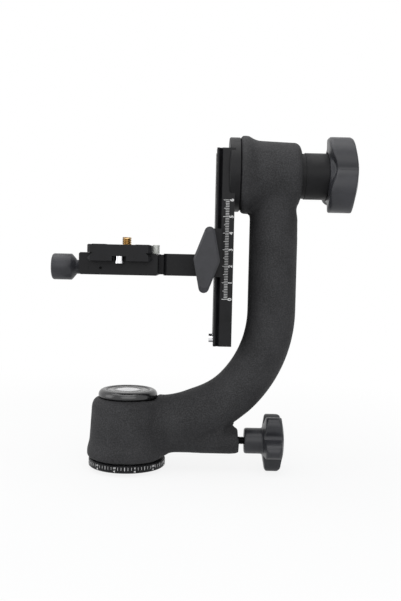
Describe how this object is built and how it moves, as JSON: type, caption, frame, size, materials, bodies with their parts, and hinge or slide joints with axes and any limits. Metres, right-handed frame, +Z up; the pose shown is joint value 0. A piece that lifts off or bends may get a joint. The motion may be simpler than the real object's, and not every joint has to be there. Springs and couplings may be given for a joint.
{
  "type": "gimbal tripod head",
  "caption": "Swing-arm head with a panning base, tilting rail carriage, quick release plate and lock knobs.",
  "frame": {"origin": "centre of the dial's bottom face, in the mouth of the tripod socket", "axes": "+Z up along the pan axis, +X towards the upright along the tilt axis, +Y away from the side with the wing knob"},
  "size_m": [0.1894, 0.0691, 0.211],
  "materials": {
    "crackle_paint": "matte textured paint on cast aluminium",
    "gloss_black": "glossy black",
    "bright_disc": "polished plain disc",
    "black_anodised": "black anodised",
    "rail_anodised": "black anodised with engraved white scale",
    "plate_anodised": "black anodised",
    "satin_black": "smooth satin black",
    "knob_plastic": "satin black plastic",
    "steel": "turned steel",
    "steel_screws": "blackened steel",
    "black_screw": "blackened steel",
    "bright_screw": "bright plated",
    "brass_parts": "turned brass",
    "rubber_pad": "ribbed rubber",
    "nylon": "plain nylon",
    "clear_vial": "clear plastic with pale fluid"
  },
  "bodies": {
    "base": {"pan_dial": "black_anodised", "dial_screws": "steel_screws", "pan_spindle": "steel", "pan_lower_bearing_inner": "steel", "pan_upper_bearing_inner": "steel", "pan_locknut": "steel"},
    "arm": {"arm_casting": "crackle_paint", "pan_cap": "gloss_black", "pan_cap_disc": "bright_disc", "pan_lower_bearing_outer": "steel", "pan_upper_bearing_outer": "steel", "pan_lock_bush": "brass_parts", "tilt_front_bearing_outer": "steel", "tilt_rear_bearing_outer": "steel", "tilt_sleeve": "satin_black"},
    "pan_brake": {"pan_lock_pad": "nylon"},
    "pan_lock": {"pan_lock_stud": "black_screw", "pan_lock_knob": "knob_plastic"},
    "tilt_brake": {"tilt_brake_pad": "nylon"},
    "tilt_lock": {"tilt_knob_stud": "black_screw", "tilt_knob": "knob_plastic"},
    "cradle": {"tilt_flange": "black_anodised", "tilt_shaft": "steel", "tilt_shaft_screw": "steel_screws", "tilt_front_bearing_inner": "steel", "tilt_rear_bearing_inner": "steel", "tilt_locknut": "steel", "swing_rail": "rail_anodised", "rail_screws": "steel_screws", "rail_stop_screw": "bright_screw"},
    "carriage": {"carriage_block": "black_anodised", "platform_arm": "black_anodised", "platform_screws": "steel_screws", "clamp_body": "black_anodised", "clamp_mount_screws": "steel_screws", "clamp_guide_screws": "steel_screws", "level_vial": "clear_vial"},
    "rail_jaw": {"carriage_jaw": "black_anodised", "carriage_jaw_pins": "steel"},
    "wing": {"wing_screw": "black_screw", "wing_knob": "knob_plastic"},
    "plate_jaw": {"clamp_jaw": "black_anodised", "clamp_jaw_pins": "steel"},
    "clamp_lock": {"clamp_screw": "black_screw", "clamp_knob": "knob_plastic"},
    "plate": {"quick_release_plate": "plate_anodised", "plate_pads": "rubber_pad", "plate_stop_screws": "bright_screw"},
    "screw_carrier": {"screw_washer": "steel"},
    "camera_screw": {"camera_screw": "brass_parts"}
  },
  "joints": [
    {"name": "pan", "type": "hinge", "parent": "base", "child": "arm", "pos_m": [0, 0, 0], "axis": [0, 0, 1], "continuous": true},
    {"name": "pan_brake_travel", "type": "slide", "parent": "arm", "child": "pan_brake", "axis": [1, 0, 0], "range_m": [0, 0.0008]},
    {"name": "pan_lock_turn", "type": "hinge", "parent": "pan_brake", "child": "pan_lock", "pos_m": [0, 0, 0.0166], "axis": [1, 0, 0], "range_deg": [0, 360.1]},
    {"name": "tilt_brake_travel", "type": "slide", "parent": "arm", "child": "tilt_brake", "axis": [1, 0, 0], "range_m": [0, 0.00125]},
    {"name": "tilt_lock_turn", "type": "hinge", "parent": "tilt_brake", "child": "tilt_lock", "pos_m": [0, 0, 0.1844], "axis": [1, 0, 0], "range_deg": [0, 360.1]},
    {"name": "tilt", "type": "hinge", "parent": "arm", "child": "cradle", "pos_m": [0, 0, 0.1844], "axis": [1, 0, 0], "continuous": true},
    {"name": "carriage_slide", "type": "slide", "parent": "cradle", "child": "carriage", "axis": [0, 0, 1], "range_m": [-0.0357, 0.0478]},
    {"name": "rail_jaw_travel", "type": "slide", "parent": "carriage", "child": "rail_jaw", "axis": [0, -1, 0], "range_m": [0, 0.001]},
    {"name": "wing_turn", "type": "hinge", "parent": "rail_jaw", "child": "wing", "pos_m": [0.0478, 0, 0.131], "axis": [0, -1, 0], "range_deg": [0, 360.1]},
    {"name": "plate_jaw_travel", "type": "slide", "parent": "carriage", "child": "plate_jaw", "axis": [-1, 0, 0], "range_m": [0, 0.0024]},
    {"name": "clamp_knob_turn", "type": "hinge", "parent": "plate_jaw", "child": "clamp_lock", "pos_m": [0, 0, 0.1248], "axis": [-1, 0, 0], "range_deg": [0, 1080.1]},
    {"name": "plate_slide", "type": "slide", "parent": "carriage", "child": "plate", "axis": [0, 1, 0], "range_m": [-0.0014, 0.0014]},
    {"name": "camera_screw_slide", "type": "slide", "parent": "plate", "child": "screw_carrier", "axis": [0, 1, 0], "range_m": [-0.0345, 0.0025]},
    {"name": "camera_screw_turn", "type": "hinge", "parent": "screw_carrier", "child": "camera_screw", "pos_m": [-0.00385, 0.016, 0], "axis": [0, 0, 1], "continuous": true}
  ],
  "couplings": [
    {"joint": "pan_lock_turn", "follows": "pan_brake_travel", "rad_per_m": 7854},
    {"joint": "tilt_lock_turn", "follows": "tilt_brake_travel", "rad_per_m": 5026.5},
    {"joint": "wing_turn", "follows": "rail_jaw_travel", "rad_per_m": 6283.2},
    {"joint": "clamp_knob_turn", "follows": "plate_jaw_travel", "rad_per_m": 7854}
  ]
}
